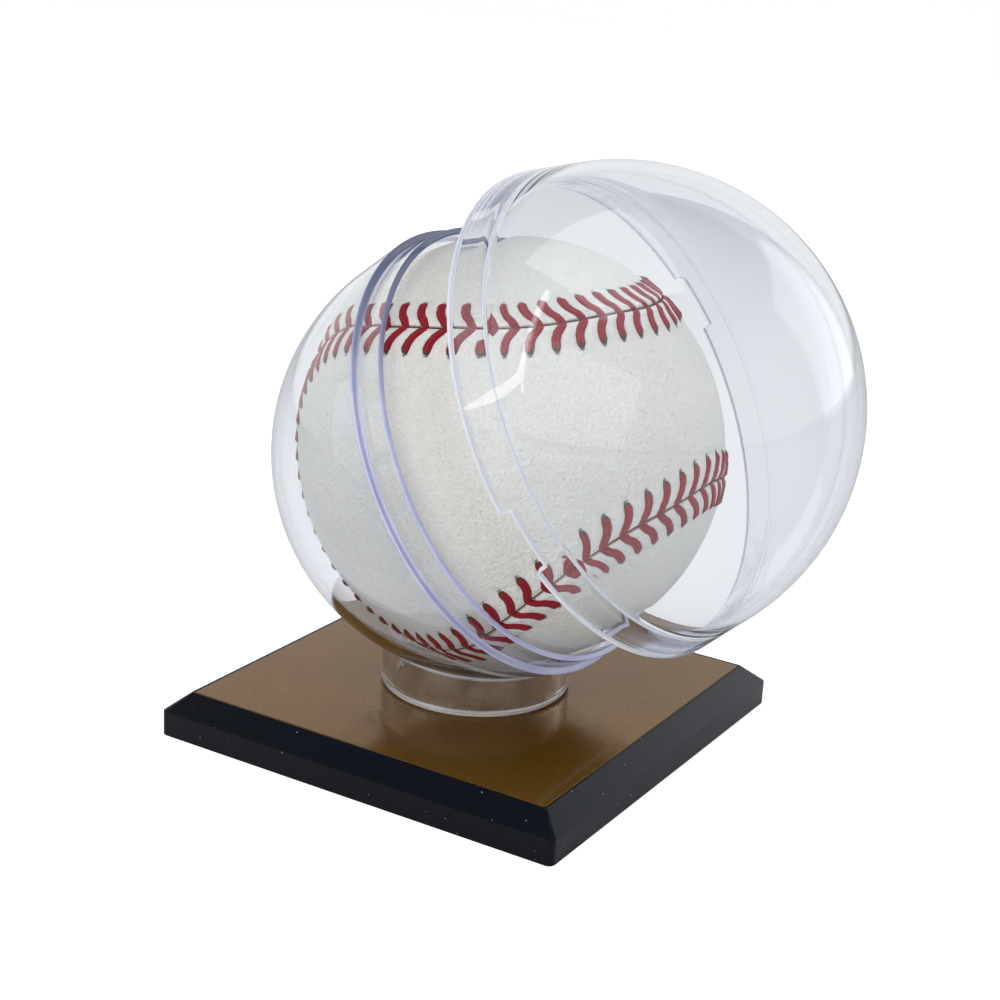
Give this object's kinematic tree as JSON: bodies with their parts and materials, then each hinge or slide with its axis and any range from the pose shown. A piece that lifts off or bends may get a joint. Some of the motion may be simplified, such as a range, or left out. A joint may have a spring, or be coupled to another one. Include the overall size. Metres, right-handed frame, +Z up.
{
  "type": "ball display case",
  "caption": "Clear globe case for a stitched leather ball, on a ring and a square bevelled base with a gold-toned plate; the front half pulls off along a tilted axis.",
  "frame": {"origin": "middle of the base's underside", "axes": "+Z up, +X level towards the side where the cover comes off, base sides along X and Y"},
  "size_m": [0.1048, 0.084, 0.1034],
  "materials": {
    "black_acrylic": "polished black",
    "bond_film": "adhesive film",
    "gold_plate": "bronze-gold mirror",
    "clear_styrene": "clear, moulded",
    "cork_rubber": "granular",
    "black_rubber": "matt",
    "red_rubber": "matt",
    "grey_wool": "wound yarn",
    "white_wool": "wound yarn",
    "cotton_yarn": "wound yarn",
    "ball_leather": "off-white, pebbled",
    "red_thread": "waxed red thread"
  },
  "bodies": {
    "stand": {"base_block": "black_acrylic", "plate_bond_film": "bond_film", "top_plate": "gold_plate", "ring_bond_film": "bond_film", "stand_ring": "clear_styrene", "rear_half": "clear_styrene"},
    "cover": {"front_half": "clear_styrene"},
    "ball": {"cork_core": "cork_rubber", "black_rubber_cup_upper": "black_rubber", "black_rubber_cup_lower": "black_rubber", "red_rubber_washer": "red_rubber", "red_rubber_layer": "red_rubber", "inner_grey_winding": "grey_wool", "white_winding": "white_wool", "outer_grey_winding": "grey_wool", "finish_winding": "cotton_yarn", "leather_panel_a": "ball_leather", "leather_panel_b": "ball_leather", "red_stitching": "red_thread"}
  },
  "joints": [
    {"name": "cover_slide", "type": "slide", "parent": "stand", "child": "cover", "axis": [0.8771, 0, 0.4802], "range_m": [-0.0237, 0.04]},
    {"name": "ball_spin", "type": "hinge", "parent": "stand", "child": "ball", "pos_m": [0.00508, 0, 0.05203], "axis": [0, 0, 1], "continuous": true}
  ]
}
